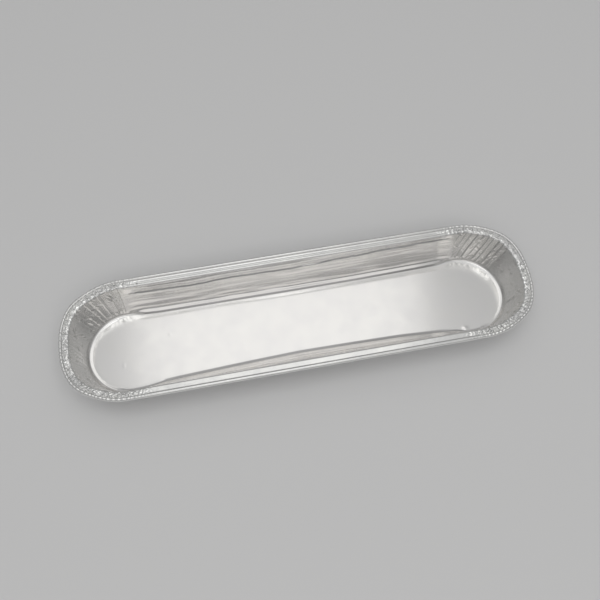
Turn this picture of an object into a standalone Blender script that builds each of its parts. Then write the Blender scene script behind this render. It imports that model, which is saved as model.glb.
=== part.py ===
"""Long oval foil loaf pan, pressed from one blank of aluminium foil.

The pan is a shallow tray with two straight sides and two half-round ends. A flat base turns up
through a small bend into a sloping wall, the wall turns out over a shoulder into a flat flange,
and the flange's edge is rolled into a hollow bead. The ends are gathered into pleats, because a
flat sheet has too much foil there. The long walls carry a shallow panel that is set outwards
between a crease near the foot and a ledge under the rim, and their feet are drawn in half way
along, the front one most.

The foil is one sheet, so each object below is one formed zone of it, cut at the bend lines and
set face to face with its neighbours. Units are metres, +Z is up, +X runs along the pan and the
origin is the middle of the base's underside.
"""

import math
from typing import NamedTuple

import bmesh
import bpy
from mathutils import Vector

# Overall size, over the rolled bead.
PAN_LENGTH = 0.280
PAN_WIDTH = 0.075
PAN_HEIGHT = 0.025

# The sheet.
FOIL_THICKNESS = 0.00008

# Base and walls. The waists are how far the feet of the long walls are drawn in half way along.
WALL_DRAFT = math.radians(13.5)
BASE_BEND_RADIUS = 0.0018
BASE_BEND_STEPS = 5
FRONT_WAIST = 0.0060
REAR_WAIST = 0.0012
LONG_SIDE_STEPS = 10

# The panel in each long wall, between the crease over its foot and the ledge under the rim.
PANEL_DEPTH = 0.0009
CREASE_HEIGHT = 0.0030
LEDGE_HEIGHT = 0.0185

# Gathered ends: each pleat is one fold that points into the pan.
PLEATS_PER_END = 32
PLEAT_DEPTH = 0.0005
PLEAT_ROWS = 4

# Rim: the shoulder turns the wall out into the flange, and the flange ends in the bead.
SHOULDER_RADIUS = 0.0009
SHOULDER_STEPS = 4
FLANGE_WIDTH = 0.0039
BEAD_DIAMETER = 0.0026
BEAD_RISE = 0.0011
BEAD_FOOT_RADIUS = 0.00035
BEAD_FOOT_STEPS = 2
BEAD_TOP_STEPS = 2
BEAD_CURL = math.radians(330)
BEAD_CURL_STEPS = 11
BEAD_LAYER_GAP = 0.00016

# Distances that follow from the sizes above. A profile's x is measured from the line that joins
# the centres of the two half-round ends.
END_CENTRE = (PAN_LENGTH - PAN_WIDTH) / 2
END_STEP = math.pi / PLEATS_PER_END
BASE_LEVEL = FOIL_THICKNESS / 2
FLANGE_LEVEL = PAN_HEIGHT - BEAD_RISE - FOIL_THICKNESS / 2

BEAD_LINE_RADIUS = (BEAD_DIAMETER - FOIL_THICKNESS) / 2
BEAD_CENTRE = Vector((PAN_WIDTH / 2 - BEAD_DIAMETER / 2, PAN_HEIGHT - BEAD_DIAMETER / 2))
BEAD_FOOT_TURN = math.acos(1 - BEAD_RISE / (BEAD_LINE_RADIUS + BEAD_FOOT_RADIUS))
BEAD_FOOT_RUN = (BEAD_LINE_RADIUS + BEAD_FOOT_RADIUS) * math.sin(BEAD_FOOT_TURN)
FLANGE_END = Vector((BEAD_CENTRE.x - BEAD_FOOT_RUN, FLANGE_LEVEL))

FLANGE_CORNER = Vector((PAN_WIDTH / 2 - BEAD_DIAMETER - FLANGE_WIDTH, FLANGE_LEVEL))
BASE_CORNER = Vector(
    (FLANGE_CORNER.x - (FLANGE_LEVEL - BASE_LEVEL) * math.tan(WALL_DRAFT), BASE_LEVEL)
)

FRONT = -math.pi / 2
REAR = math.pi / 2


class Station(NamedTuple):
    """One place on the way round the pan, where the foil's profile stands upright."""

    along: float
    facing: float
    waist: float = 0.0
    panel: float = 0.0
    pleat: float = 0.0
    reach: float = 1.0


def clear_scene():
    """Removes whatever the file holds."""
    for thing in list(bpy.data.objects):
        bpy.data.objects.remove(thing)


def foil_material(name, colour, roughness):
    """Bare aluminium foil."""
    material = bpy.data.materials.new(name)
    material.use_nodes = True
    shader = material.node_tree.nodes["Principled BSDF"]
    shader.inputs["Base Color"].default_value = (*colour, 1.0)
    shader.inputs["Roughness"].default_value = roughness
    shader.inputs["Metallic"].default_value = 1.0
    return material


def long_side(facing, waist):
    """Stations along a long side, in the direction that runs anticlockwise round the pan."""
    stations = []
    for step in range(LONG_SIDE_STEPS + 1):
        share = 2 * step / LONG_SIDE_STEPS - 1
        along = -share * math.sin(facing) * END_CENTRE
        drawn_in = waist * (1 - share**2)
        set_out = PANEL_DEPTH * (1 - share**4)
        stations.append(Station(along, facing, waist=drawn_in, panel=set_out))
    return stations


def round_end(first_facing):
    """Stations round an end, one at each edge between two pleats."""
    centre = -math.sin(first_facing) * END_CENTRE
    return [
        Station(centre, first_facing + step * END_STEP) for step in range(PLEATS_PER_END + 1)
    ]


def pleated_end(first_facing):
    """Stations round an end, with one more at the fold in the middle of each pleat."""
    edges = round_end(first_facing)
    folds = [
        Station(edge.along, edge.facing + END_STEP / 2, pleat=PLEAT_DEPTH,
                reach=math.cos(END_STEP / 2))
        for edge in edges[:-1]
    ]
    pairs = [station for pair in zip(edges, folds) for station in pair]
    return pairs + [edges[-1]]


def all_round():
    """Stations once round the pan: front side, right end, rear side, left end."""
    legs = (long_side(FRONT, FRONT_WAIST), round_end(FRONT),
            long_side(REAR, REAR_WAIST), round_end(REAR))
    return [station for leg in legs for station in leg[:-1]]


def left_of(heading):
    """Unit vector to the left of a heading: the side of the foil that holds the food."""
    return Vector((-math.sin(heading), math.cos(heading)))


def bend(start, heading, turn, radius, steps):
    """Points and headings along a round bend to the left, or to the right if turn is negative."""
    side = math.copysign(radius, turn)
    centre = start + side * left_of(heading)
    headings = [heading + turn * step / steps for step in range(steps + 1)]
    return [(centre - side * left_of(each), each) for each in headings]


def wall_heading(station):
    """Direction of the straight wall from the base's corner up to the flange's corner."""
    rise = FLANGE_CORNER - BASE_CORNER + Vector((station.waist, 0))
    return math.atan2(rise.y, rise.x)


def base_bend_line(station):
    """Middle line of the bend from the flat base up into the wall."""
    heading = wall_heading(station)
    inset = station.waist + BASE_BEND_RADIUS * math.tan(heading / 2)
    start = BASE_CORNER - Vector((inset, 0))
    return bend(start, 0.0, heading, BASE_BEND_RADIUS, BASE_BEND_STEPS)


def shoulder_line(station):
    """Middle line of the bend from the wall out into the flange."""
    heading = wall_heading(station)
    outset = SHOULDER_RADIUS * math.tan(heading / 2)
    start = FLANGE_CORNER - outset * Vector((math.cos(heading), math.sin(heading)))
    return bend(start, heading, -heading, SHOULDER_RADIUS, SHOULDER_STEPS)


def wall_point(station, share, inward):
    """A point of the wall's middle line, part of the way up and moved into the pan."""
    low = base_bend_line(station)[-1][0]
    high = shoulder_line(station)[0][0]
    heading = wall_heading(station)
    return low.lerp(high, share) + inward * left_of(heading), heading


def share_of_wall(station, height):
    """How far up the wall a height is, from 0 at the base bend to 1 at the shoulder."""
    low = base_bend_line(station)[-1][0].y
    high = shoulder_line(station)[0][0].y
    return (height - low) / (high - low)


def panelled_wall_line(station):
    """Middle line of a long wall: foot, crease, ledge and shoulder."""
    crease = share_of_wall(station, CREASE_HEIGHT)
    ledge = share_of_wall(station, LEDGE_HEIGHT)
    return [
        wall_point(station, 0.0, 0.0),
        wall_point(station, crease, -station.panel),
        wall_point(station, ledge, -station.panel),
        wall_point(station, 1.0, 0.0),
    ]


def pleated_wall_line(station):
    """Middle line of an end wall, where a pleat is deepest half way up."""
    shares = [row / PLEAT_ROWS for row in range(PLEAT_ROWS + 1)]
    return [
        wall_point(station, share, station.pleat * math.sin(math.pi * share)) for share in shares
    ]


def flange_line(station):
    """Middle line of the shoulder and the flat flange."""
    return shoulder_line(station) + [(FLANGE_END, 0.0)]


def bead_line(_station):
    """Middle line of the rolled edge: up off the flange, over the top, round and in on itself."""
    foot = bend(FLANGE_END, 0.0, BEAD_FOOT_TURN, BEAD_FOOT_RADIUS, BEAD_FOOT_STEPS)
    up = bend(foot[-1][0], BEAD_FOOT_TURN, -BEAD_FOOT_TURN, BEAD_LINE_RADIUS, BEAD_TOP_STEPS)
    curl = []
    for step in range(1, BEAD_CURL_STEPS + 1):
        turned = BEAD_CURL * step / BEAD_CURL_STEPS
        past_bottom = max(turned - math.pi, 0.0) / (BEAD_CURL - math.pi)
        radius = BEAD_LINE_RADIUS - (BEAD_LAYER_GAP + FOIL_THICKNESS) * past_bottom
        curl.append((BEAD_CENTRE + radius * left_of(-turned), -turned))
    return foot[:-1] + up + curl


def foil_section(line, station):
    """Cut through the foil at a station: its food side and its underside, each from its foot up."""
    outward = Vector((math.cos(station.facing), math.sin(station.facing), 0)) * station.reach
    foot = Vector((station.along, 0, 0))
    sides = []
    for offset in (FOIL_THICKNESS / 2, -FOIL_THICKNESS / 2):
        points = [point + offset * left_of(heading) for point, heading in line]
        sides.append([foot + point.x * outward + Vector((0, 0, point.y)) for point in points])
    return sides


def finished_mesh(bm, name, material):
    """Makes the mesh, shaded smooth except at its sharp edges."""
    mesh = bpy.data.meshes.new(name)
    bm.to_mesh(mesh)
    bm.free()
    mesh.materials.append(material)
    mesh.shade_smooth()
    mesh.set_sharp_from_angle(angle=math.radians(35))
    return mesh


def skin(bm, near, far):
    """Joins two sections by the faces of both sides and of both cut edges.

    Both sides are split along the same diagonals, so that they stay a foil's thickness apart
    where the wall twists.
    """
    (near_food, near_under), (far_food, far_under) = near, far
    for low, high in zip(range(len(near_food)), range(1, len(near_food))):
        bm.faces.new((near_food[low], near_food[high], far_food[high]))
        bm.faces.new((near_food[low], far_food[high], far_food[low]))
        bm.faces.new((near_under[high], near_under[low], far_under[high]))
        bm.faces.new((near_under[low], far_under[low], far_under[high]))
    bm.faces.new((near_under[0], near_food[0], far_food[0], far_under[0]))
    bm.faces.new((near_food[-1], near_under[-1], far_under[-1], far_food[-1]))


def foil_strip(name, line_at, stations, material, closed=False):
    """Skins the foil's sections from station to station, all round or with both ends capped."""
    bm = bmesh.new()
    sections = []
    for station in stations:
        sides = foil_section(line_at(station), station)
        sections.append([[bm.verts.new(point) for point in side] for side in sides])
    for near, far in zip(sections, sections[1:]):
        skin(bm, near, far)
    if closed:
        skin(bm, sections[-1], sections[0])
    else:
        (first_food, first_under), (last_food, last_under) = sections[0], sections[-1]
        bm.faces.new(first_under + first_food[::-1])
        bm.faces.new(last_food + last_under[::-1])
    return finished_mesh(bm, name, material)


def base_plate(name, material):
    """The flat base: one outline at its underside, and the same one a foil's thickness higher."""
    bm = bmesh.new()
    underside, food_side = [], []
    for station in all_round():
        start = base_bend_line(station)[0][0].x
        along = station.along + start * math.cos(station.facing)
        across = start * math.sin(station.facing)
        underside.append(bm.verts.new((along, across, 0)))
        food_side.append(bm.verts.new((along, across, FOIL_THICKNESS)))
    for corner in range(len(underside)):
        bm.faces.new((underside[corner - 1], underside[corner],
                      food_side[corner], food_side[corner - 1]))
    bm.faces.new(underside[::-1])
    bm.faces.new(food_side)
    return finished_mesh(bm, name, material)


def add_zone(pan, mesh):
    """Adds a zone of the sheet to the pan."""
    zone = bpy.data.objects.new(mesh.name, mesh)
    bpy.context.scene.collection.objects.link(zone)
    zone.parent = pan


def build_pan():
    smooth = foil_material("smooth_foil", (0.90, 0.90, 0.90), 0.28)
    gathered = foil_material("gathered_foil", (0.88, 0.88, 0.88), 0.32)
    rolled = foil_material("rolled_foil", (0.91, 0.91, 0.91), 0.22)

    pan = bpy.data.objects.new("pan", None)
    bpy.context.scene.collection.objects.link(pan)

    add_zone(pan, base_plate("base_panel", smooth))
    add_zone(pan, foil_strip("base_bend", base_bend_line, all_round(), smooth, closed=True))

    for name, facing, waist in (
        ("front_wall", FRONT, FRONT_WAIST),
        ("rear_wall", REAR, REAR_WAIST),
    ):
        stations = long_side(facing, waist)
        add_zone(pan, foil_strip(name, panelled_wall_line, stations, smooth))

    for name, first_facing in (("right_end_wall", FRONT), ("left_end_wall", REAR)):
        stations = pleated_end(first_facing)
        add_zone(pan, foil_strip(name, pleated_wall_line, stations, gathered))

    add_zone(pan, foil_strip("rim_flange", flange_line, all_round(), rolled, closed=True))
    add_zone(pan, foil_strip("rolled_bead", bead_line, all_round(), rolled, closed=True))


clear_scene()
build_pan()
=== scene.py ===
"""Looks of a long oval foil pan: thin bright aluminium foil, pressed to a tray and gathered at its ends.

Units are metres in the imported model's frame: +X along the pan, +Y to the rear wall, +Z up. The foil
is one sheet. Its middle surface is a function of two numbers, how far round the pan and how far up the
foil's profile. Each piece is a zone of that sheet, and has the foil's real thickness.
"""

from types import SimpleNamespace

import bpy
import numpy as np
from mathutils import Matrix, Vector


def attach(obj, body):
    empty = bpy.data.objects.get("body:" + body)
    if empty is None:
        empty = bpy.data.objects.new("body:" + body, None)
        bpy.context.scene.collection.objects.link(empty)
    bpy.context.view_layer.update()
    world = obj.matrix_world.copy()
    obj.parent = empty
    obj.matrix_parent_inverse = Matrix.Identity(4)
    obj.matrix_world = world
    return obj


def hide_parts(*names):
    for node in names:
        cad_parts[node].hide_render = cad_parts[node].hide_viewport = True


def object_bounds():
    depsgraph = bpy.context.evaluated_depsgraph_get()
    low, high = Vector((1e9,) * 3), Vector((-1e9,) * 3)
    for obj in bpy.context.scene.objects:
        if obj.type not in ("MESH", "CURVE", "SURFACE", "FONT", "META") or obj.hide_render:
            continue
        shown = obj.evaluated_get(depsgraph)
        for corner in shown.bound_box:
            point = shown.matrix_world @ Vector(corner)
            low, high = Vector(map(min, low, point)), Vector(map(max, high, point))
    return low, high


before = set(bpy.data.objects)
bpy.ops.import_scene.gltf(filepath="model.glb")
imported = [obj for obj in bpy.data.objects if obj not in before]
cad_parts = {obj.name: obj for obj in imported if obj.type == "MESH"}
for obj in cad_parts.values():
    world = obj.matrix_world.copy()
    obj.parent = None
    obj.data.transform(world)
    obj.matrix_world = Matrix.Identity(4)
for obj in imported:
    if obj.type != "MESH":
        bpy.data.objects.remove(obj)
cad_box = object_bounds()

MM = 0.001
scene = bpy.context.scene

# Camera: in front of the pan, high above it and looking steeply down, a little from the left.
# The lens, distance and tilt come from fitting the outlines of the rim and the base. The picture's
# middle lies VIEW_RIGHT and VIEW_UP from the middle of the pan's underside.
PICTURE_PX = 600
FOCAL_PX = 700
PX_PER_MM = 1.6373
VIEW_YAW = np.radians(11.22)
VIEW_ELEVATION = np.radians(65.49)
VIEW_ROLL = np.radians(0.70)
VIEW_RIGHT = -0.07 * MM
VIEW_UP = -14.56 * MM
SENSOR_MM = 36


def camera_axes(yaw, elevation, roll):
    """Right, up and forward of a camera that looks along +Y and down, is rolled, then turned about Z."""
    forward = np.array([0, np.cos(elevation), -np.sin(elevation)])
    right = np.array([1, 0, 0])
    up = np.cross(right, forward)
    rolled_right = np.cos(roll) * right + np.sin(roll) * up
    rolled_up = np.cos(roll) * up - np.sin(roll) * right
    turn = np.array([[np.cos(yaw), np.sin(yaw), 0], [-np.sin(yaw), np.cos(yaw), 0], [0, 0, 1]])
    return turn @ rolled_right, turn @ rolled_up, turn @ forward


view_right, view_up, view_forward = camera_axes(VIEW_YAW, VIEW_ELEVATION, VIEW_ROLL)
view_distance = FOCAL_PX / PX_PER_MM * MM
camera_data = bpy.data.cameras.new("camera")
camera_data.sensor_width = SENSOR_MM
camera_data.lens = FOCAL_PX / PICTURE_PX * SENSOR_MM
camera = bpy.data.objects.new("camera", camera_data)
view_place = -VIEW_RIGHT * view_right - VIEW_UP * view_up - view_distance * view_forward
camera_matrix = np.eye(4)
camera_matrix[:3] = np.stack([view_right, view_up, -view_forward, view_place], axis=1)
camera.matrix_world = Matrix(camera_matrix)
scene.collection.objects.link(camera)
scene.camera = camera

# Base panel: the flat bottom that rests on the table. The whole pan is one blank of soft aluminium
# foil, pressed between two dies and cut by no seam, so nothing is fixed to it. This section also sets
# out the sheet that every other piece is a zone of.
FOIL = 0.08 * MM
SIDE_COLUMNS = 400
END_COLUMNS = 640
BASE_CORNER = 25.28 * MM
RIM_CORNER = 31.7 * MM
BASE_BEND_RADIUS = 1.8 * MM
SIDE_BEND_RADIUS = 0.4 * MM
SIDE_DRAW = 0.7
SIDE_EASE = 12 * MM
BEAD_RISE = 1.1 * MM
# The waists: place along the pan and how far the foot is drawn in there, in mm, as the photo shows them.
FRONT_WAIST = ((-102.5, 0), (-94, 0.5), (-84, 1.9), (-63.9, 2.9), (-33.6, 4.2), (-2.9, 5.2), (27.8, 4.8),
               (58.8, 4.1), (83.5, 2.6), (93.1, 1.9), (98, 1.0), (102.5, 0))
REAR_WAIST = ((-102.5, 0), (-95, 1.0), (-83, 1.7), (-40, 1.8), (0, 2.0), (40, 2.0), (80, 1.3), (95, 0.7),
              (102.5, 0))
WAIST_EASE_COLUMNS = 21
BASE_ROWS = 34
RING_WIDTH = 0.9 * MM
RING_RISE = 0.17 * MM
RING_RUN_OUT = 0.3
HEEL_WIDTH = 1.6 * MM
HEEL_RISE = 0.6 * MM
HEEL_TOP = 1.6
HEEL_RUN_OUT = 0.9
BASE_WAVE = 0.05 * MM
BASE_WAVE_LENGTH = 45 * MM
BASE_WAVE_SHIFT = 20
BASE_WAVE_MARGIN = 3 * MM
SLOPE_STEP = 0.02 * MM
TINY = 1e-12
# Small dents pushed up from below, as the photo shows them: place along and across, reach and rise, in mm.
DENTS_MM = ((-78.7, 7.7, 0.8, 0.05), (-107.6, -7.0, 0.8, 0.05), (98.8, -21.9, 1.6, 0.32),
            (109.0, 20.5, 0.9, 0.06), (113.5, 16.5, 0.8, 0.05), (106.0, 22.0, 0.7, 0.05))

pan_length, pan_width, pan_height = (high - low for low, high in zip(*cad_box))
end_centre = (pan_length - pan_width) / 2
base_level = FOIL / 2
flange_level = pan_height - BEAD_RISE - FOIL / 2
walk_radius = (RIM_CORNER + BASE_CORNER) / 2
way_round = 4 * end_centre + 2 * np.pi * walk_radius


def smooth(x, low, high):
    """0 below low, 1 above high, and a cubic ease between them."""
    share = np.clip((x - low) / (high - low), 0, 1)
    return share * share * (3 - 2 * share)


def noise(u, v, seed, size=64):
    """Smooth noise, -1 to 1: random heights on a lattice one unit wide, eased between its points."""
    lattice = np.random.default_rng(seed).uniform(-1, 1, (size, size))
    column, row = np.floor(u).astype(int), np.floor(v).astype(int)
    across, up = smooth(u - column, 0, 1), smooth(v - row, 0, 1)
    near, far = (lattice[column % size, line % size] * (1 - across)
                 + lattice[(column + 1) % size, line % size] * across for line in (row, row + 1))
    return near * (1 - up) + far * up


def columns_round():
    """Columns once round the pan, anticlockwise from the front left corner.

    A column stands at x = along on the line between the centres of the two ends and faces outwards at
    the angle facing. The third result is the way walked round the middle of the wall.
    """
    side = np.linspace(-end_centre, end_centre, SIDE_COLUMNS, endpoint=False)
    turn = np.linspace(0, np.pi, END_COLUMNS, endpoint=False)
    still = np.full(END_COLUMNS, end_centre)
    along = np.concatenate([side, still, -side, -still])
    facing = np.concatenate([0 * side, turn, 0 * side + np.pi, turn + np.pi]) - np.pi / 2
    pitch = (2 * end_centre / SIDE_COLUMNS, np.pi * walk_radius / END_COLUMNS) * 2
    step = np.repeat(pitch, (SIDE_COLUMNS, END_COLUMNS) * 2)
    return along, facing, np.cumsum(step) - step


col_along, col_facing, col_walk = columns_round()
column_count = col_along.size
every_column = np.arange(column_count)
front_columns = np.arange(SIDE_COLUMNS + 1)
right_columns = np.arange(END_COLUMNS + 1) + SIDE_COLUMNS
rear_columns = front_columns + SIDE_COLUMNS + END_COLUMNS
left_columns = right_columns + SIDE_COLUMNS + END_COLUMNS


def from_nearest_tip(walk):
    """Way walked anticlockwise from the nearer end's tip. The two tips are half the way round apart."""
    right_tip = 2 * end_centre + np.pi / 2 * walk_radius
    return (walk - right_tip + way_round / 4) % (way_round / 2) - way_round / 4


def waist_of_side(measured):
    """How far a long side's foot is drawn in: straight between the measured places, then eased."""
    places, depths = np.array(measured).T
    depth = np.interp(np.linspace(-end_centre, end_centre, SIDE_COLUMNS + 1) / MM, places, depths)
    weights = np.hanning(WAIST_EASE_COLUMNS)
    eased = np.convolve(np.pad(depth, WAIST_EASE_COLUMNS // 2), weights / weights.sum(), "valid")
    from_end = np.minimum(np.arange(depth.size), np.arange(depth.size)[::-1])
    return eased[:-1] * MM * smooth(from_end[:-1], 0, WAIST_EASE_COLUMNS)


no_waist = np.zeros(END_COLUMNS)
col_waist = np.concatenate([waist_of_side(FRONT_WAIST), no_waist,
                            np.roll(waist_of_side(REAR_WAIST)[::-1], 1), no_waist])
# The long sides' bend is finer than the ends', so its foot stands closer to the middle.
col_side = smooth(end_centre - np.abs(col_along), 0, SIDE_EASE)
col_radius = BASE_BEND_RADIUS + (SIDE_BEND_RADIUS - BASE_BEND_RADIUS) * col_side
col_waist = col_waist + SIDE_DRAW * (BASE_BEND_RADIUS - col_radius)
col_slope = np.arctan2(flange_level - base_level, RIM_CORNER - BASE_CORNER + col_waist)
col_edge = BASE_CORNER - col_waist - col_radius * np.tan(col_slope / 2)

stretches, spreads, reliefs = [], [], []


def middle_line(columns, v):
    """Middle line of the foil's profile: distance out, height, heading above level, and length walked.

    The base is level up to its edge, and each stretch starts where the one before it ends, in the same
    direction. v counts stretches from the base's edge: 0 to 1 is the bend, 1 to 2 the wall, 2 to 3 the
    shoulder, 3 to 4 the flange, 4 to 6 the bead's foot and 6 to 7 the bead. Below 0 it is millimetres
    inside the edge.
    """
    here = np.stack([col_edge[columns], 0 * columns + base_level, 0 * columns, 0 * columns])[..., None]
    line = here + np.stack([v * MM, 0 * v, 0 * v, v * MM])[:, None, :]
    for number, stretch in enumerate(stretches):
        longest = None if number == len(stretches) - 1 else 1
        line = np.where(v >= number, stretch(here, columns, np.clip(v - number, 0, longest)), line)
        here = stretch(here, columns, 1.0)
    return line


def foil_surface(columns, v):
    """Points of the sheet's middle surface, and their places on the flat blank.

    The profile is carried round the columns. Each spread moves it level outwards, and each relief along
    its normal, to the food's side if it is positive. Both are worked out from a spot: its v, its height
    and place along the pan, the way from the nearer tip, and how squarely it faces an end or the rear.
    The blank is the profile laid out flat.
    """
    columns = np.asarray(columns) % column_count
    out, height, heading, walked = middle_line(columns, v)
    facing, along = col_facing[columns][:, None], col_along[columns][:, None]
    spot = SimpleNamespace(v=v[None, :], height=height, along=along,
                           from_tip=from_nearest_tip(col_walk[columns])[:, None],
                           endwise=np.abs(np.cos(facing)), rearward=np.sin(facing))
    lift = sum((relief(spot) for relief in reliefs), 0 * out)
    out = out + sum((spread(spot) for spread in spreads), 0 * out) - lift * np.sin(heading)
    height = height + lift * np.cos(heading)
    flat = col_edge[columns][:, None] + walked
    points = np.stack([along + out * np.cos(facing), out * np.sin(facing), height], axis=-1)
    return points, np.stack([along + flat * np.cos(facing), flat * np.sin(facing)], axis=-1)


def closed_foil(name, middle, normals, blank, ring):
    """Gives the middle surface the foil's thickness: food side, underside and the cut edges between them.

    Each side lies half the thickness along the normals. They are also the shading's normals, so that the
    cut between two zones doesn't show. A ring's last column joins its first. The UV map is the place on
    the blank, in metres.
    """
    count, rows = middle.shape[:2]
    places = np.concatenate([(middle + normals * FOIL / 2).reshape(-1, 3),
                             (middle - normals * FOIL / 2).reshape(-1, 3)])
    food = np.arange(count * rows).reshape(count, rows)
    if ring:
        food = np.vstack([food, food[:1]])
    under = food + count * rows
    a, b, c, d = food[:-1, :-1], food[:-1, 1:], food[1:, 1:], food[1:, :-1]
    sides = [np.stack([a, b, c, d], -1), np.stack([d, c, b, a], -1) + count * rows]
    edges = [np.stack([food[:-1, 0], food[1:, 0], under[1:, 0], under[:-1, 0]], -1),
             np.stack([under[:-1, -1], under[1:, -1], food[1:, -1], food[:-1, -1]], -1)]
    if not ring:
        edges += [np.stack([food[0, :-1], under[0, :-1], under[0, 1:], food[0, 1:]], -1),
                  np.stack([food[-1, 1:], under[-1, 1:], under[-1, :-1], food[-1, :-1]], -1)]
    quads = np.concatenate([side.reshape(-1, 4) for side in sides] + edges)
    side_quads = 2 * sides[0].size // 4

    mesh = bpy.data.meshes.new(name)
    mesh.vertices.add(len(places))
    mesh.vertices.foreach_set("co", places.ravel())
    mesh.loops.add(quads.size)
    mesh.loops.foreach_set("vertex_index", quads.ravel())
    mesh.polygons.add(len(quads))
    mesh.polygons.foreach_set("loop_start", np.arange(0, quads.size, 4))
    mesh.update(calc_edges=True)
    mesh.shade_smooth()

    corner_normals = np.concatenate([normals.reshape(-1, 3), -normals.reshape(-1, 3)])[quads]
    corners = places[quads[side_quads:]]
    flat = np.cross(corners[:, 2] - corners[:, 0], corners[:, 3] - corners[:, 1])
    flat /= np.linalg.norm(flat, axis=-1, keepdims=True) + TINY
    corner_normals[side_quads:] = flat[:, None, :]
    mesh.normals_split_custom_set(corner_normals.reshape(-1, 3))
    on_blank = np.concatenate([blank.reshape(-1, 2)] * 2)[quads].reshape(-1, 2)
    mesh.uv_layers.new(name="blank").uv.foreach_set("vector", on_blank.ravel().astype(np.float32))
    return mesh


def base_ring(spot):
    """Round both ends the base's margin turns up at an even slope, and the lift dies over the bend."""
    turned_up = np.clip(1 + spot.v * MM / RING_WIDTH, 0, 1) * (1 - smooth(spot.v, 0, 1))
    return RING_RISE * turned_up * smooth(spot.endwise, 0, RING_RUN_OUT)


def front_heel(spot):
    """Along the front side a wider margin turns up at an even slope. The lift dies on the wall above."""
    turned_up = np.clip(1 + spot.v * MM / HEEL_WIDTH, 0, 1) * (1 - smooth(spot.v, 1, HEEL_TOP))
    return HEEL_RISE * turned_up * smooth(-spot.rearward, HEEL_RUN_OUT, 1)


reliefs += [base_ring, front_heel]
base_outline = foil_surface(every_column, np.array([0.0]))[0][:, 0]


def base_height(x, y):
    """Height of the base: its level, the turned up margins, slow waves, and dents that are bells of height.

    Waves and dents fade out to the edge. Within the ends the edge is a circle about the end's centre,
    elsewhere the outline of that long side.
    """
    beyond = np.clip(np.abs(x) - end_centre, 0, None)
    reach = np.hypot(beyond, y)
    front, rear = base_outline[front_columns], base_outline[rear_columns % column_count][::-1]
    side_edge = np.where(y < 0, -np.interp(x, front[:, 0], front[:, 1]),
                         np.interp(x, rear[:, 0], rear[:, 1]))
    inside = np.where(beyond > 0, col_edge[SIDE_COLUMNS] - reach, side_edge - np.abs(y))
    spot = SimpleNamespace(v=-inside / MM, endwise=beyond / np.maximum(reach, TINY),
                           rearward=y / np.maximum(reach, TINY))
    waves = 1 + noise(x / BASE_WAVE_LENGTH + BASE_WAVE_SHIFT,
                      2 * y / BASE_WAVE_LENGTH + BASE_WAVE_SHIFT, seed=3)
    dents = sum(rise * MM * np.exp(-((x / MM - at_x) ** 2 + (y / MM - at_y) ** 2) / size**2)
                for at_x, at_y, size, rise in DENTS_MM)
    uneven = (BASE_WAVE * waves + dents) * smooth(inside, 0, BASE_WAVE_MARGIN)
    return base_level + base_ring(spot) + front_heel(spot) + uneven


def ruled_base():
    """The base ruled straight across, from the rear outline to the front one, closer together at the edges.

    The ruled lines stop one column short of each tip, where the last of them closes the outline.
    """
    number = np.arange(1, SIDE_COLUMNS + END_COLUMNS)
    front = base_outline[(number - END_COLUMNS // 2) % column_count, :2]
    rear = base_outline[2 * SIDE_COLUMNS + 3 * END_COLUMNS // 2 - number, :2]
    share = (1 - np.cos(np.linspace(0, np.pi, BASE_ROWS)))[None, :, None] / 2
    plan = rear[:, None] * (1 - share) + front[:, None] * share
    x, y = plan[..., 0], plan[..., 1]
    fall_x = (base_height(x - SLOPE_STEP, y) - base_height(x + SLOPE_STEP, y)) / (2 * SLOPE_STEP)
    fall_y = (base_height(x, y - SLOPE_STEP) - base_height(x, y + SLOPE_STEP)) / (2 * SLOPE_STEP)
    normals = np.stack([fall_x, fall_y, 0 * x + 1], axis=-1)
    normals /= np.linalg.norm(normals, axis=-1, keepdims=True)
    return np.dstack([plan, base_height(x, y)]), normals, plan


def linear(hex_colour):
    """Linear colour of an sRGB hex value such as "B7B7B7"."""
    values = np.array([int(hex_colour[i:i + 2], 16) / 255 for i in (0, 2, 4)])
    return (*np.where(values < 0.04045, values / 12.92, ((values + 0.055) / 1.055) ** 2.4), 1.0)


def add_node(tree, kind, links=(), **settings):
    """Adds a node. Settings name its properties or its inputs, and links pairs an input with an output."""
    node = tree.nodes.new(kind)
    for key, value in settings.items():
        if hasattr(node, key):
            setattr(node, key, value)
        else:
            node.inputs[key.replace("_", " ")].default_value = value
    for socket, source in dict(links).items():
        tree.links.new(source, node.inputs[socket])
    return node


# Cold rolling leaves lines about 0.02 mm apart along the foil. They are drawn 0.4 mm apart and 40 mm long,
# because finer ones wouldn't show. Smudges from handling are some 14 mm across.
MILL_LINES_PER_METRE = (25, 2500, 1)
SMUDGES_PER_METRE = 70
SMUDGE_RANGE = (0.35, 0.65)
ROLLING_GRAIN = 0.3


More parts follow.
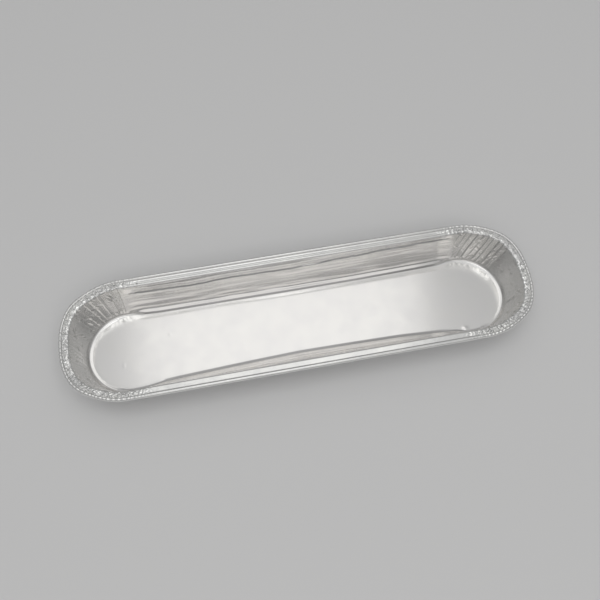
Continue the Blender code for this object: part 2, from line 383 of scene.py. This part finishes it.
def rolled_foil(name, bright, dull, roughness, smudge, line_height, dent_mm, dent_height):
    """Soft aluminium foil, cold rolled: a mirror that the mill's fine lines and handling have dulled.

    Lines run the blank's length. Cloudy smudges shift its colour and gloss, and shallow dents bend it.
    """
    material = bpy.data.materials.new(name)
    material.use_nodes = True
    tree = material.node_tree
    shader = tree.nodes["Principled BSDF"]
    shader.inputs["Metallic"].default_value = 1
    shader.inputs["Anisotropic"].default_value = ROLLING_GRAIN
    blank = add_node(tree, "ShaderNodeUVMap", uv_map="blank").outputs["UV"]
    here = add_node(tree, "ShaderNodeTexCoord").outputs["Object"]

    drawn_out = add_node(tree, "ShaderNodeMapping", {"Vector": blank}, Scale=MILL_LINES_PER_METRE)
    lines = add_node(tree, "ShaderNodeTexNoise", {"Vector": drawn_out.outputs["Vector"]},
                     Scale=1.0, Detail=2.0)
    smudges = add_node(tree, "ShaderNodeTexNoise", {"Vector": here}, Scale=SMUDGES_PER_METRE, Detail=3.0)
    dents = add_node(tree, "ShaderNodeTexNoise", {"Vector": here}, Scale=1 / (dent_mm * MM), Detail=1.0)

    tint = add_node(tree, "ShaderNodeValToRGB", {"Fac": smudges.outputs["Fac"]})
    for stop, place, colour in zip(tint.color_ramp.elements, SMUDGE_RANGE, (dull, bright)):
        stop.position = place
        stop.color = linear(colour)
    gloss = add_node(tree, "ShaderNodeMapRange", {"Value": smudges.outputs["Fac"]},
                     From_Min=SMUDGE_RANGE[0], From_Max=SMUDGE_RANGE[1],
                     To_Min=roughness + smudge, To_Max=roughness)
    lined = add_node(tree, "ShaderNodeBump", {"Height": lines.outputs["Fac"]}, Distance=line_height)
    dented = add_node(tree, "ShaderNodeBump",
                      {"Height": dents.outputs["Fac"], "Normal": lined.outputs["Normal"]},
                      Distance=dent_height)
    grain = add_node(tree, "ShaderNodeTangent", direction_type="UV_MAP", uv_map="blank")
    tree.links.new(tint.outputs["Color"], shader.inputs["Base Color"])
    tree.links.new(gloss.outputs["Result"], shader.inputs["Roughness"])
    tree.links.new(dented.outputs["Normal"], shader.inputs["Normal"])
    tree.links.new(grain.outputs["Tangent"], shader.inputs["Tangent"])
    return material


def place_piece(mesh, material, node):
    """Puts a piece in the scene in the place of its CAD node."""
    mesh.materials.append(material)
    piece = bpy.data.objects.new(mesh.name, mesh)
    scene.collection.objects.link(piece)
    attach(piece, "root")
    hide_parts(node)


# Bright rolled foil, its glossier side up: a soft, even mirror with hardly a mark on it.
smooth_foil = rolled_foil("bright_rolled_aluminium_foil", bright="F6F5F3", dull="F3F2F1",
                          roughness=0.14, smudge=0.03, line_height=0.003 * MM,
                          dent_mm=14, dent_height=0.006 * MM)
place_piece(closed_foil("base_panel_foil", *ruled_base(), ring=False),
            smooth_foil, "base_panel")

# Base bend: the small bend in the foil that turns the bottom up into the wall, all the way round. On the
# long sides the dies also press a foot, a nearly level strip and a crease outside it, and further up the
# wall a ledge with a steep band above. They are one form with the bend, so they are set out here.
BEND_ROWS = 14
FOOT_HEIGHT = 0.15 * MM
FOOT_SLOPE = 0.67
STRIP_HEIGHT = 1.34 * MM
STRIP_SLOPE = 1.24
CREASE_HEIGHT = 2.1 * MM
CREASE_SLOPE = 0.65
CREASE_TOP = 2.85 * MM
CORNER_EASE = 0.12 * MM
# How high the ledge is along the far wall: place along the pan and height, in mm, measured in the photo.
LEDGE_HEIGHTS = ((-95, 17.8), (-78, 17.5), (-61, 16.6), (-37, 17.7), (-15, 17.2), (5, 17.4), (37, 18.9),
                 (60, 19.4), (95, 20.2))
LEDGE_DROP = 0.85 * MM
LEDGE_STEP = 0.53 * MM
LEDGE_SPREAD = 1.45 * MM
LEDGE_WANDER = 0.30 * MM
LEDGE_WAVE_LENGTH = 9 * MM
LEDGE_RIPPLE_LENGTH = 2.5 * MM
BAND_HEIGHT = 3.8 * MM
BAND_TOP = 23.2 * MM
PANEL_RUN_OUT = 11 * MM
TIP_STRAY = 1.1 * MM
TIP_REACH_DEG = 18
CORNER_STRAY = 1.1 * MM
CORNER_TURN_DEG = 40
CORNER_REACH_DEG = 16
FACES_AN_END = 1e-6


def arc(radius, turn):
    """A stretch that bends by turn, uphill if it is positive. It follows the circle's sine and cosine."""
    turn, radius = np.broadcast_to(turn, col_along.shape), np.broadcast_to(radius, col_along.shape)
    signed = np.sign(turn) * radius

    def stretch(here, columns, share):
        out, height, heading, walked = here
        end, side = heading + share * turn[columns][:, None], signed[columns][:, None]
        return np.stack(np.broadcast_arrays(out + side * (np.sin(end) - np.sin(heading)),
                                            height + side * (np.cos(heading) - np.cos(end)),
                                            end, walked + side * (end - heading)))
    return stretch


def eased_lower(a, b, width):
    """The lower of two lengths, with the corner where they cross rounded off over width."""
    closeness = np.clip(width - np.abs(a - b), 0, None) / width
    return np.minimum(a, b) - closeness**2 * width / 4


def panelled_side(spot):
    """How far the long walls stand outside their straight line, by height.

    It grows in proportion to the height along the foot, further along the strip to the crease and its
    bevel, goes slowly back to the ledge, out over the ledge's small step, and back to nothing over the
    band above. Where two of these cross, the lower one counts.
    """
    places, heights = np.array(LEDGE_HEIGHTS).T * MM
    ledge = np.interp(spot.along, places, heights)
    ledge = ledge + LEDGE_WANDER * (noise(spot.along / LEDGE_WAVE_LENGTH, 0 * spot.along, seed=11)
                                    + noise(spot.along / LEDGE_RIPPLE_LENGTH, 0 * spot.along, seed=12) / 2)
    foot = FOOT_SLOPE * (spot.height - FOOT_HEIGHT)
    strip_spread = FOOT_SLOPE * (STRIP_HEIGHT - FOOT_HEIGHT)
    strip = np.maximum(foot, strip_spread + STRIP_SLOPE * (spot.height - STRIP_HEIGHT))
    crease_spread = strip_spread + STRIP_SLOPE * (CREASE_HEIGHT - STRIP_HEIGHT)
    bevel = crease_spread + CREASE_SLOPE * (spot.height - CREASE_HEIGHT)
    top_spread = crease_spread + CREASE_SLOPE * (CREASE_TOP - CREASE_HEIGHT)
    wall_share = (spot.height - CREASE_TOP) / (ledge - LEDGE_DROP - CREASE_TOP)
    wall = top_spread + (LEDGE_SPREAD - LEDGE_STEP - top_spread) * np.clip(wall_share, None, 1)
    wall = wall + LEDGE_STEP * np.clip((spot.height - ledge) / LEDGE_DROP + 1, 0, 1)
    band_top = np.minimum(ledge + BAND_HEIGHT, BAND_TOP)
    band = LEDGE_SPREAD * (band_top - spot.height) / (band_top - ledge)
    panel = eased_lower(eased_lower(strip, bevel, CORNER_EASE), wall, CORNER_EASE)
    spread = np.clip(np.minimum(panel, band), 0, None) * (spot.v < 3)
    ends = 1 - smooth(np.abs(spot.along), end_centre - PANEL_RUN_OUT, end_centre)
    return spread * ends * (spot.endwise < FACES_AN_END)


def rim_stray(spot):
    """How far the bent ends stray from their true outline, as measured in the photo.

    They stray in at the tip and out between tip and side. Both are bell curves over the angle turned
    from the tip, and grow with the height.
    """
    turned = np.degrees(np.arccos(np.minimum(spot.endwise, 1)))
    outwards = CORNER_STRAY * np.exp(-((turned - CORNER_TURN_DEG) / CORNER_REACH_DEG) ** 2)
    inwards = TIP_STRAY * np.exp(-(turned / TIP_REACH_DEG) ** 2)
    risen = smooth(spot.height, base_level, flange_level)
    return (outwards - inwards) * (spot.endwise > FACES_AN_END) * risen


def cut_zone(name, columns, rows, ring=False):
    """Cuts one zone out of the sheet. Its normals are the cross product of the differences between each
    point's neighbours, so one column and one row more are worked out all round it."""
    step = rows[1] - rows[0]
    wide_rows = np.concatenate([[rows[0] - step], rows, [rows[-1] + step]])
    wide_columns = np.concatenate([[columns[0] - 1], columns, [columns[-1] + 1]])
    points, blank = foil_surface(wide_columns, wide_rows)
    normals = np.cross(points[1:-1, 2:] - points[1:-1, :-2], points[2:, 1:-1] - points[:-2, 1:-1])
    normals /= np.linalg.norm(normals, axis=-1, keepdims=True)
    return closed_foil(name, points[1:-1, 1:-1], normals, blank[1:-1, 1:-1], ring)


spreads += [panelled_side, rim_stray]
stretches.append(arc(col_radius, col_slope))
place_piece(cut_zone("base_bend_foil", every_column, np.linspace(0, 1, BEND_ROWS), ring=True),
            smooth_foil, "base_bend")

# Long walls: the front and rear walls of the tray, drawn down from the same foil without gathers. They
# carry the foot, crease, ledge and band that the dies press, and the drawing leaves low streaks on them.
SHOULDER_RADIUS = 1.1 * MM
STREAK_HEIGHT = 0.11 * MM
STREAK_LENGTH = 38 * MM
STREAK_WIDTH = 2.4 * MM
STREAK_SHIFT = 9
FINER_ALONG = 3
FINER_ACROSS = 2.4
FINER_SHARE = 0.4
STREAK_RUN_OUT = 8 * MM
# Where on the profile the streaks ease in above the bend and out below the shoulder.
STREAKS_BEGIN = (1, 1.12)
STREAKS_END = (1.9, 2)


def straight(length):
    """A stretch that goes straight on: out and height grow with the cosine and sine of the heading."""
    length = np.broadcast_to(length, col_along.shape)

    def stretch(here, columns, share):
        out, height, heading, walked = here
        way = share * length[columns][:, None]
        return np.stack(np.broadcast_arrays(out + way * np.cos(heading), height + way * np.sin(heading),
                                            heading, walked + way))
    return stretch


def drawn_streaks(spot):
    """Long shallow streaks: noise stretched along the wall, and a finer one a third as long over it."""
    coarse = noise(spot.along / STREAK_LENGTH + STREAK_SHIFT, spot.height / STREAK_WIDTH, seed=21)
    fine = noise(FINER_ALONG * spot.along / STREAK_LENGTH + STREAK_SHIFT,
                 FINER_ACROSS * spot.height / STREAK_WIDTH, seed=22)
    on_wall = smooth(spot.v, *STREAKS_BEGIN) * (1 - smooth(spot.v, *STREAKS_END))
    ends = 1 - smooth(np.abs(spot.along), end_centre - STREAK_RUN_OUT, end_centre)
    return STREAK_HEIGHT * (coarse + FINER_SHARE * fine) * on_wall * (spot.endwise < FACES_AN_END) * ends


corners_apart = (flange_level - base_level) / np.sin(col_slope)
stretches.append(straight(corners_apart - (col_radius + SHOULDER_RADIUS) * np.tan(col_slope / 2)))
reliefs.append(drawn_streaks)
# Rows lie closest together at the crease and where the ledge wanders.
wall_rows = np.concatenate([np.linspace(1, 1.13, 24)[:-1], np.linspace(1.13, 1.62, 20)[:-1],
                            np.linspace(1.62, 1.86, 40)[:-1], np.linspace(1.86, 2, 9)])
place_piece(cut_zone("front_wall_foil", front_columns, wall_rows), smooth_foil, "front_wall")
place_piece(cut_zone("rear_wall_foil", rear_columns, wall_rows), smooth_foil, "rear_wall")

# End walls: the half-round walls. The foil is too wide for the turn here, so the dies gather it into
# upright folds, sharp and leaning at the two rear corners and nearly ironed flat elsewhere.
END_WALL_ROWS = 68
CREASE_COUNT = 600
CREASE_PITCH = (0.6, 1.4)
LEAST_CREASE = 0.2
FOLD_SPACING = 1.1 * MM
FOLD_PACE = 0.7
FOLD_STEEPNESS = (1.6, 0.4)
FOLD_HEIGHT = 0.6 * MM
FAINT_FOLDS = 0.26
FOLD_PATCH = 5 * MM
FOLD_WANDER = 1.6 * MM
FOLD_WANDER_LENGTH = 12 * MM
FOLD_UNEVENNESS = 0.3
FOLD_PATCHES_UP = 3
# Where on the profile the folds ease in above the bend and out over the flange, and how squarely the wall
# faces its end where they are at their height.
FOLDS_BEGIN = (1, 1.15)
FOLDS_END = (2.3, 3.2)
FOLDS_ENDWISE = 0.05
# How far the folds lean over the wall's height, anticlockwise if positive. Both lean up towards the tip.
RIGHT_LEAN = 4.0 * MM
LEFT_LEAN = -1.6 * MM
# How squarely the wall faces the rear where the lean, and the folds' sharpness, begin and are full.
LEANING = (0.2, 0.9)
RIGHT_SHARP = (0.35, 0.65)
LEFT_SHARP = (0.68, 0.88)
SMALL_CREASE_SPACING = 1.5 * MM
SMALL_CREASE_HEIGHT = 0.36 * MM
SMALL_CREASE_SLANT = 14 * MM
SMALL_CREASE_PATCH = 3 * MM
SMALL_CREASE_PATCHES_UP = 6
SMALL_CREASE_CONTRAST = 3
SMALL_CREASE_CUT = 1.2


def zigzag(u, spacing, seed, steepness=(1, 1)):
    """Straight creases: peaks and valleys in turn along u, unevenly spaced, of random heights up to 1.

    steepness gives the share of the spacing that a rise and a fall take.
    """
    rng = np.random.default_rng(seed)
    pitches = rng.uniform(*CREASE_PITCH, CREASE_COUNT) * spacing
    knots = np.cumsum(pitches * np.tile(steepness, CREASE_COUNT // 2))
    heights = rng.uniform(LEAST_CREASE, 1, CREASE_COUNT) * (-1) ** np.arange(CREASE_COUNT)
    return np.interp(u, knots - knots[CREASE_COUNT // 2], heights)


def gathers(spot):
    """Upright folds: a zigzag round the wall that leans as it climbs, flat and steep in turn.

    It is faint but for the rear corners. Over it lie patches of small creases that cross at a slant. All
    of it fades out at the foot, over the flange, and where the long walls begin.
    """
    right = spot.along > 0
    climb = np.clip(spot.v - 1, 0, 1) - 0.5
    lean = FOLD_WANDER * noise(spot.from_tip / FOLD_WANDER_LENGTH, 0 * spot.from_tip, seed=31)
    lean = lean + np.where(right, RIGHT_LEAN, LEFT_LEAN) * smooth(spot.rearward, *LEANING)
    folded = zigzag(spot.from_tip * FOLD_PACE + lean * climb, FOLD_SPACING, seed=32, steepness=FOLD_STEEPNESS)
    crossed = 0
    for way in (-1, 1):
        slanted = spot.from_tip + way * (SMALL_CREASE_SLANT * climb)
        creased = zigzag(slanted, SMALL_CREASE_SPACING, seed=35 + way)
        patch = noise(spot.from_tip / SMALL_CREASE_PATCH, SMALL_CREASE_PATCHES_UP * climb, seed=38 + way)
        crossed = crossed + creased * np.clip(SMALL_CREASE_CONTRAST * patch - SMALL_CREASE_CUT, 0, 1)
    sharp = np.where(right, smooth(spot.rearward, *RIGHT_SHARP), smooth(spot.rearward, *LEFT_SHARP))
    strong = FAINT_FOLDS + (1 - FAINT_FOLDS) * sharp
    uneven = noise(spot.from_tip / FOLD_PATCH, FOLD_PATCHES_UP * climb, seed=33)
    patchy = 1 - FOLD_UNEVENNESS + FOLD_UNEVENNESS * uneven
    fade = smooth(spot.v, *FOLDS_BEGIN) * (1 - smooth(spot.v, *FOLDS_END))
    fade = fade * smooth(spot.endwise, 0, FOLDS_ENDWISE)
    return (FOLD_HEIGHT * folded * strong * patchy + SMALL_CREASE_HEIGHT * crossed) * fade


reliefs.append(gathers)
# Gathered foil: the same sheet, work-hardened and finely crinkled, so a little duller.
gathered_foil = rolled_foil("gathered_aluminium_foil", bright="F2F1EF", dull="EAEAE8",
                            roughness=0.17, smudge=0.06, line_height=0.004 * MM,
                            dent_mm=2.2, dent_height=0.06 * MM)
wall_rows = np.linspace(1, 2, END_WALL_ROWS)
place_piece(cut_zone("right_end_foil", right_columns, wall_rows),
            gathered_foil, "right_end_wall")
place_piece(cut_zone("left_end_foil", left_columns, wall_rows),
            gathered_foil, "left_end_wall")

# Rim flange: the shoulder at the wall's top and the level flange outside it, which a lid rests on. The
# dies squeeze the foil bright and smooth on the long sides, with one fine groove in the rear one, and
# pinch it into sparkling wrinkles at the ends.
FLANGE_END = 34.78 * MM
SHOULDER_ROWS = 8
FLANGE_ROWS = 15
LIP_RISE = 0.18 * MM
GROOVE_PLACE = 3.4
GROOVE_WIDTH = 0.27
GROOVE_DEPTH = 0.48 * MM
WRINKLE_SPACING = 1.25 * MM
WRINKLE_PACE = 1.15
WRINKLE_HEIGHT = 0.75 * MM
WRINKLE_RUN_OUT = 16 * MM
WRINKLE_DRIFT = 0.8
WRINKLE_DRIFT_LENGTH = 1.5 * MM
WRINKLE_PATCH = 2.2 * MM
WRINKLE_MEAN = 0.65
WRINKLE_UNEVENNESS = 0.6
WRINKLE_DRIFTS_OUT = 3
WRINKLE_PATCHES_OUT = 3.5
SHOULDER_SHARE = 0.35
# Where on the profile the lip and the wrinkles rise, and where both ease out again at the bead.
LIP_RISES = (2.7, 3.5)
ON_SHOULDER = (1.95, 2.4)
ON_FLANGE = (3, 3.4)
AT_BEAD = (4, 4.8)


def at_ends(spot):
    """1 round the ends, easing to 0 where the wrinkles run out on the long sides."""
    return 1 - smooth(end_centre - np.abs(spot.along), 0, WRINKLE_RUN_OUT)


def flange_lip(spot):
    """Round the ends the flange's inner part slopes up outwards, to a level that the rest of it keeps."""
    return LIP_RISE * smooth(spot.v, *LIP_RISES) * (1 - smooth(spot.v, *AT_BEAD)) * at_ends(spot)


def flange_groove(spot):
    """A groove of bell-shaped section along the rear side's flange."""
    bell = np.exp(-((spot.v - GROOVE_PLACE) / GROOVE_WIDTH) ** 2) * (spot.v > 3)
    return -GROOVE_DEPTH * bell * (1 - at_ends(spot)) * (spot.rearward > 0)


def rim_wrinkles(spot):
    """Radial wrinkles from shoulder to bead: a fine zigzag along the rim that drifts as it goes outwards.

    It is stronger and weaker from patch to patch, a third as high on the shoulder as on the flange.
    """
    wander = noise(spot.from_tip / WRINKLE_DRIFT_LENGTH, WRINKLE_DRIFTS_OUT * spot.v, seed=43)
    drift = WRINKLE_DRIFT * WRINKLE_SPACING * wander
    creased = zigzag(spot.from_tip * WRINKLE_PACE + drift, WRINKLE_SPACING, seed=41)
    uneven = noise(spot.from_tip / WRINKLE_PATCH, WRINKLE_PATCHES_OUT * spot.v, seed=42)
    patchy = WRINKLE_MEAN + WRINKLE_UNEVENNESS * uneven
    rise = SHOULDER_SHARE * smooth(spot.v, *ON_SHOULDER) + (1 - SHOULDER_SHARE) * smooth(spot.v, *ON_FLANGE)
    fade = rise * (1 - smooth(spot.v, *AT_BEAD))
    return WRINKLE_HEIGHT * creased * patchy * at_ends(spot) * fade


stretches.append(arc(SHOULDER_RADIUS, -col_slope))
stretches.append(straight(FLANGE_END - RIM_CORNER - SHOULDER_RADIUS * np.tan(col_slope / 2)))
reliefs += [flange_lip, flange_groove, rim_wrinkles]
# Pressed rim foil: squeezed flat between the dies, so the brightest and crispest of the sheet.
rim_foil = rolled_foil("pressed_rim_aluminium_foil", bright="F7F7F5", dull="F1F1F0",
                       roughness=0.13, smudge=0.05, line_height=0.0015 * MM,
                       dent_mm=3.0, dent_height=0.03 * MM)
rim_rows = np.concatenate([np.linspace(2, 3, SHOULDER_ROWS)[:-1], np.linspace(3, 4, FLANGE_ROWS)])
place_piece(cut_zone("rim_flange_foil", every_column, rim_rows, ring=True),
            rim_foil, "rim_flange")

# Rolled bead: the blank's cut edge, rolled outwards and under into a hollow bead that stiffens the rim
# and hides the sharp edge. It is dented finely where the wrinkles of the ends run into it.
BEAD_DIAMETER = 2.6 * MM
BEAD_FOOT_RADIUS = 0.2 * MM
BEAD_CURL = np.radians(330)
BEAD_LAYER_GAP = 0.16 * MM
BEAD_DENT_SPACING = 1.2 * MM
BEAD_DENT_PACE = 1.3
BEAD_DENT = 0.16 * MM
# Where on the profile the dents ease in and out.
BEAD_DENTS_BEGIN = (4.3, 5)
BEAD_DENTS_END = (6.2, 6.8)
bead_radius = (BEAD_DIAMETER - FOIL) / 2
foot_turn = np.arccos(1 - BEAD_RISE / (bead_radius + BEAD_FOOT_RADIUS))


def curl(here, columns, share):
    """The edge rolled under: an arc about the bead's middle, whose radius shrinks past its lowest point."""
    out, height, _, walked = here
    turned = BEAD_CURL * share
    shrunk = np.clip(turned - np.pi, 0, None) / (BEAD_CURL - np.pi)
    radius = bead_radius - (BEAD_LAYER_GAP + FOIL) * shrunk
    return np.stack(np.broadcast_arrays(out + radius * np.sin(turned),
                                        height - bead_radius + radius * np.cos(turned),
                                        -turned, walked + bead_radius * turned))


def bead_dents(spot):
    """Dents across the bead, only ever inwards: a zigzag along it, from nothing to twice its depth."""
    creased = 1 + zigzag(spot.from_tip * BEAD_DENT_PACE, BEAD_DENT_SPACING, seed=51)
    fade = smooth(spot.v, *BEAD_DENTS_BEGIN) * (1 - smooth(spot.v, *BEAD_DENTS_END))
    return -BEAD_DENT * creased * at_ends(spot) * fade


stretches += [arc(BEAD_FOOT_RADIUS, foot_turn), arc(bead_radius, -foot_turn), curl]
reliefs.append(bead_dents)
bead_rows = np.concatenate([np.linspace(4, 5, 4)[:-1], np.linspace(5, 6, 5)[:-1], np.linspace(6, 7, 14)])
place_piece(cut_zone("rolled_bead_foil", every_column, bead_rows, ring=True),
            rim_foil, "rolled_bead")

# Studio: the pan lies on a plain matt grey table. One soft box stands behind it and high up, where the
# base mirrors it, another stands in front and is mirrored by the far wall, and a wide lamp overhead
# lights the table. All are plain soft lamps, and the studio's walls are the world.
TABLE_REACH = 3
TABLE_ROUGHNESS = 0.8
# How bright the walls are by height, 0 at the horizon and 1 overhead: pale low down, a dark belt at a third
# of the way up that draws the dark lines of foot, crease and ledge, and a bright patch straight overhead
# that makes the wrinkled rim sparkle.
STUDIO_LEVELS = ((0.02, 0.38), (0.24, 0.34), (0.34, 0.18), (0.44, 0.20), (0.53, 0.40), (0.80, 0.42),
                 (0.89, 0.52), (0.97, 0.60), (0.985, 0.66), (0.991, 1.4))


def soft_box(name, azimuth, elevation, distance, size, radiance, colour="FFFFFF"):
    """A rectangular lamp that faces the pan's middle from a distance in metres.

    radiance is what a mirror shows of it, 1 being white. Its power is radiance times pi times its area.
    """
    lamp = bpy.data.lights.new(name, "AREA")
    lamp.shape = "RECTANGLE"
    lamp.size, lamp.size_y = size
    lamp.color = linear(colour)[:3]
    lamp.energy = radiance * np.pi * size[0] * size[1]
    azimuth, elevation = np.radians(azimuth), np.radians(elevation)
    direction = Vector((np.sin(azimuth) * np.cos(elevation), np.cos(azimuth) * np.cos(elevation),
                        np.sin(elevation)))
    box = bpy.data.objects.new(name, lamp)
    box.location = direction * distance
    box.rotation_euler = direction.to_track_quat("Z", "Y").to_euler()
    box.visible_camera = False
    scene.collection.objects.link(box)
    return box


soft_box("rear_softbox", azimuth=5, elevation=66, distance=1.0, size=(0.59, 0.32), radiance=0.39,
         colour="FFFDFA")
soft_box("front_softbox", azimuth=182, elevation=45.5, distance=1.0, size=(0.84, 0.40), radiance=0.38,
         colour="FFFAF7")
table_lamp = soft_box("table_lamp", azimuth=180, elevation=73, distance=2.0, size=(2.0, 2.0), radiance=1.5)
# The foil would mirror it as a glare that the photo doesn't show, so it only lights what is matt.
table_lamp.visible_glossy = False

world = bpy.data.worlds.new("studio")
scene.world = world
world.use_nodes = True
tree = world.node_tree
direction = add_node(tree, "ShaderNodeTexCoord").outputs["Generated"]
upward = add_node(tree, "ShaderNodeSeparateXYZ", {"Vector": direction}).outputs["Z"]
studio = add_node(tree, "ShaderNodeValToRGB", {"Fac": upward})
studio.color_ramp.elements.remove(studio.color_ramp.elements[1])
for height, level in STUDIO_LEVELS:
    studio.color_ramp.elements.new(height).color = (level, level, level, 1)
studio.color_ramp.elements.remove(studio.color_ramp.elements[0])
tree.links.new(studio.outputs["Color"], tree.nodes["Background"].inputs["Color"])

floor_mesh = bpy.data.meshes.new("floor")
floor_corners = [(x * TABLE_REACH, y * TABLE_REACH, 0) for x, y in ((-1, -1), (1, -1), (1, 1), (-1, 1))]
floor_mesh.from_pydata(floor_corners, [], [(0, 1, 2, 3)])
floor = bpy.data.objects.new("floor", floor_mesh)
scene.collection.objects.link(floor)
# Matt grey table: a smooth painted top without gloss, an even grey that takes a soft shadow.
floor_material = bpy.data.materials.new("matt_grey_table")
floor_material.use_nodes = True
floor_shader = floor_material.node_tree.nodes["Principled BSDF"]
floor_shader.inputs["Base Color"].default_value = linear("C8C8C8")
floor_shader.inputs["Roughness"].default_value = TABLE_ROUGHNESS
floor_mesh.materials.append(floor_material)

scene.view_settings.view_transform = "Standard"
